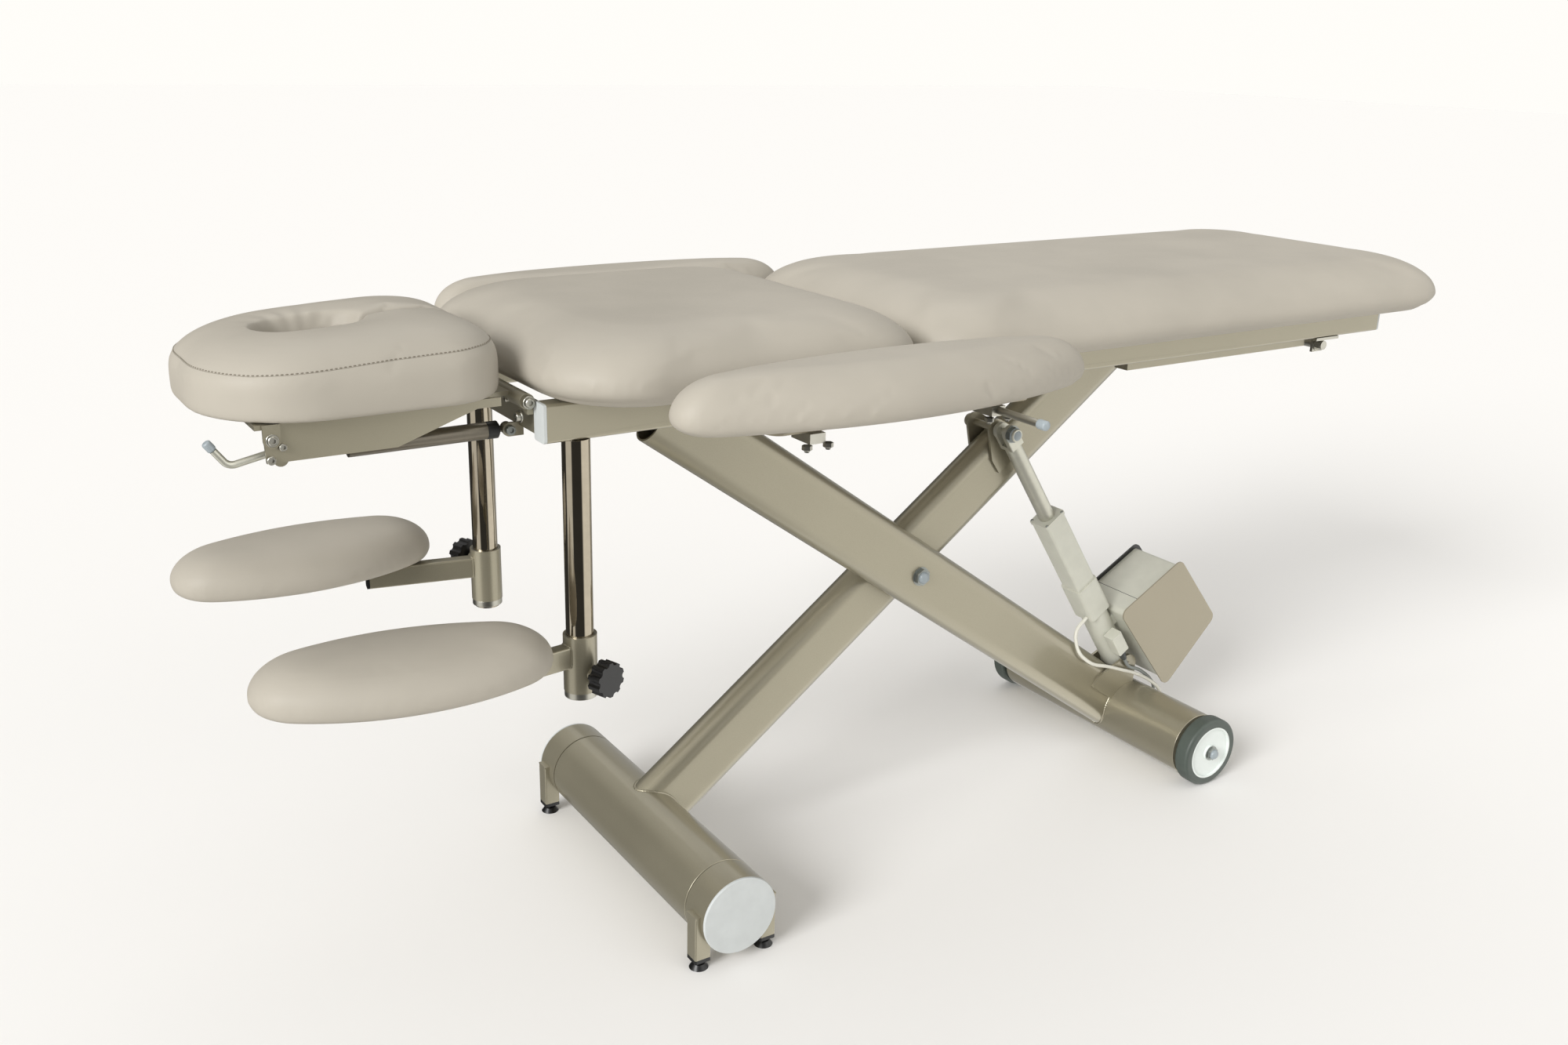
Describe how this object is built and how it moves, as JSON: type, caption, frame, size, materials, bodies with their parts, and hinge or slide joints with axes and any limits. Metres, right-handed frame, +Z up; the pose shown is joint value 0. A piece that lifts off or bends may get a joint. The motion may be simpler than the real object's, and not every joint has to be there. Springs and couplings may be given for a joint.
{
  "type": "massage table",
  "caption": "Height-adjustable massage table: X-scissor lift with an electric actuator, padded head, chest and leg sections, sliding side pads and swivel armrests.",
  "frame": {"origin": "on the floor under the middle of the table's length and width", "axes": "+Z up, +X from the head end to the foot end, -Y the near side of the picture"},
  "size_m": [2.0871, 1.03, 0.9236],
  "materials": {
    "bronze_lacquer": "glossy metallic lacquer",
    "leatherette": "soft satin leatherette",
    "grey_cap": "satin plastic",
    "black_plastic": "satin plastic",
    "actuator_grey": "satin plastic",
    "white_plastic": "gloss plastic",
    "tyre_rubber": "matt rubber",
    "chrome_steel": "chrome plated",
    "zinc_steel": "zinc plated",
    "black_metal": "satin black"
  },
  "bodies": {
    "base": {"base_tube_ends": "bronze_lacquer", "base_end_caps": "grey_cap", "levelling_feet": "black_plastic", "base_inner_shaft": "zinc_steel"},
    "foot_end_arm": {"arm_1_floor_sleeve": "bronze_lacquer", "arm_1_tube": "bronze_lacquer", "roller_axle": "zinc_steel", "actuator_ears": "bronze_lacquer"},
    "rollers": {"guide_rollers": "black_plastic"},
    "head_end_arm": {"arm_2_tube": "bronze_lacquer", "wheel_beam": "bronze_lacquer", "wheel_axles": "zinc_steel", "pivot_bolt": "zinc_steel", "pivot_cap": "grey_cap", "actuator_foot_bracket": "bronze_lacquer", "actuator_leads": "white_plastic"},
    "wheel_near": {"tyre_near": "tyre_rubber", "wheel_disc_near": "white_plastic"},
    "wheel_far": {"tyre_far": "tyre_rubber", "wheel_disc_far": "white_plastic"},
    "top_frame": {"cross_receivers": "bronze_lacquer", "rail_near": "bronze_lacquer", "rail_far": "bronze_lacquer", "frame_caps": "grey_cap", "guide_channels": "bronze_lacquer", "cross_shaft": "zinc_steel", "armrest_posts": "chrome_steel", "head_end_bracket": "bronze_lacquer", "foot_cross_bar": "zinc_steel", "chest_cushion": "leatherette", "leg_cushion": "leatherette"},
    "actuator_housing": {"actuator_body": "actuator_grey", "control_box": "actuator_grey", "box_plate_near": "bronze_lacquer", "box_plate_far": "black_metal", "control_plug": "actuator_grey"},
    "actuator_piston": {"actuator_rod": "chrome_steel"},
    "head_section": {"head_frame": "bronze_lacquer", "head_cushion": "leatherette"},
    "gas_cylinder": {"gas_spring_cylinder": "black_metal"},
    "gas_piston": {"gas_spring_rod": "chrome_steel"},
    "lever": {"release_lever": "zinc_steel"},
    "armrest_liner_near": {"liner_bush_near": "grey_cap"},
    "armrest_near": {"armrest_arm_near": "bronze_lacquer", "armrest_cap_near": "grey_cap", "arm_pad_near": "leatherette"},
    "knob_near": {"armrest_knob_near": "black_plastic"},
    "side_support_near": {"side_pad_near": "leatherette", "side_plate_near": "bronze_lacquer", "side_rods_near": "zinc_steel", "pull_cap_near": "grey_cap"},
    "armrest_liner_far": {"liner_bush_far": "grey_cap"},
    "armrest_far": {"armrest_arm_far": "bronze_lacquer", "armrest_cap_far": "grey_cap", "arm_pad_far": "leatherette"},
    "knob_far": {"armrest_knob_far": "black_plastic"},
    "side_support_far": {"side_pad_far": "leatherette", "side_plate_far": "bronze_lacquer", "side_rods_far": "zinc_steel", "pull_cap_far": "grey_cap"}
  },
  "joints": [
    {"name": "lift", "type": "hinge", "parent": "base", "child": "foot_end_arm", "pos_m": [-0.426, 0, 0.078], "axis": [0, -1, 0], "range_deg": [-17.5, 2]},
    {"name": "roller_spin", "type": "hinge", "parent": "foot_end_arm", "child": "rollers", "pos_m": [0.524, 0, 0.7748], "axis": [0, 1, 0], "continuous": true},
    {"name": "scissor_pivot", "type": "hinge", "parent": "foot_end_arm", "child": "head_end_arm", "pos_m": [0.049, 0, 0.4264], "axis": [0, -1, 0], "range_deg": [-3.9, 33.76]},
    {"name": "wheel_spin_near", "type": "hinge", "parent": "head_end_arm", "child": "wheel_near", "pos_m": [0.566, -0.243, 0.0625], "axis": [0, 1, 0], "continuous": true},
    {"name": "wheel_spin_far", "type": "hinge", "parent": "head_end_arm", "child": "wheel_far", "pos_m": [0.566, 0.243, 0.0625], "axis": [0, 1, 0], "continuous": true},
    {"name": "frame_pivot", "type": "hinge", "parent": "head_end_arm", "child": "top_frame", "pos_m": [-0.468, 0, 0.7903], "axis": [0, -1, 0], "range_deg": [-16.26, 1.9]},
    {"name": "actuator_swing", "type": "hinge", "parent": "head_end_arm", "child": "actuator_housing", "pos_m": [0.553, -0.026, 0.158], "axis": [0, -1, 0], "range_deg": [-1.05, 0.16]},
    {"name": "actuator_stroke", "type": "slide", "parent": "actuator_housing", "child": "actuator_piston", "axis": [-0.5531, 0, 0.8331], "range_m": [-0.16403, 0.01892]},
    {"name": "head_tilt", "type": "hinge", "parent": "top_frame", "child": "head_section", "pos_m": [-0.668, 0, 0.822], "axis": [0, 1, 0], "range_deg": [-35, 18]},
    {"name": "gas_spring_swing", "type": "hinge", "parent": "top_frame", "child": "gas_cylinder", "pos_m": [-0.669, -0.08, 0.773], "axis": [0, 1, 0], "range_deg": [-36.39, 18.74]},
    {"name": "gas_spring_stroke", "type": "slide", "parent": "gas_cylinder", "child": "gas_piston", "axis": [-1, 0, 0], "range_m": [-0.02892, 0.01497]},
    {"name": "release_lever_pull", "type": "hinge", "parent": "head_section", "child": "lever", "pos_m": [-0.966, -0.112, 0.79], "axis": [0, 1, 0], "range_deg": [0, 15], "stiffness_Nm_per_rad": 0.5, "springref_deg": -17.19},
    {"name": "armrest_height_near", "type": "slide", "parent": "top_frame", "child": "armrest_liner_near", "axis": [0, 0, 1], "range_m": [0, 0.18]},
    {"name": "armrest_swivel_near", "type": "hinge", "parent": "armrest_liner_near", "child": "armrest_near", "pos_m": [-0.611, -0.162, 0.428], "axis": [0, 0, 1], "range_deg": [-15, 75]},
    {"name": "knob_turn_near", "type": "hinge", "parent": "armrest_near", "child": "knob_near", "pos_m": [-0.611, -0.162, 0.455], "axis": [0.342, -0.9397, 0], "range_deg": [-180, 180]},
    {"name": "side_pad_slide_near", "type": "slide", "parent": "top_frame", "child": "side_support_near", "axis": [0, -1, 0], "range_m": [0, 0.12]},
    {"name": "armrest_height_far", "type": "slide", "parent": "top_frame", "child": "armrest_liner_far", "axis": [0, 0, 1], "range_m": [-0.018, 0.162]},
    {"name": "armrest_swivel_far", "type": "hinge", "parent": "armrest_liner_far", "child": "armrest_far", "pos_m": [-0.611, 0.162, 0.446], "axis": [0, 0, -1], "range_deg": [-15, 75]},
    {"name": "knob_turn_far", "type": "hinge", "parent": "armrest_far", "child": "knob_far", "pos_m": [-0.611, 0.162, 0.502], "axis": [-0.309, 0.9511, 0], "range_deg": [-180, 180]},
    {"name": "side_pad_slide_far", "type": "slide", "parent": "top_frame", "child": "side_support_far", "axis": [0, 1, 0], "range_m": [0, 0.12]}
  ],
  "couplings": [
    {"joint": "scissor_pivot", "follows": "lift", "ratio": -1.9261},
    {"joint": "frame_pivot", "follows": "lift", "ratio": 0.9261},
    {"joint": "actuator_swing", "follows": "lift", "ratio": 0.0571},
    {"joint": "actuator_stroke", "follows": "lift", "m_per_rad": 0.53638},
    {"joint": "gas_spring_swing", "follows": "head_tilt", "ratio": 1.0382},
    {"joint": "gas_spring_stroke", "follows": "head_tilt", "m_per_rad": 0.04702}
  ]
}
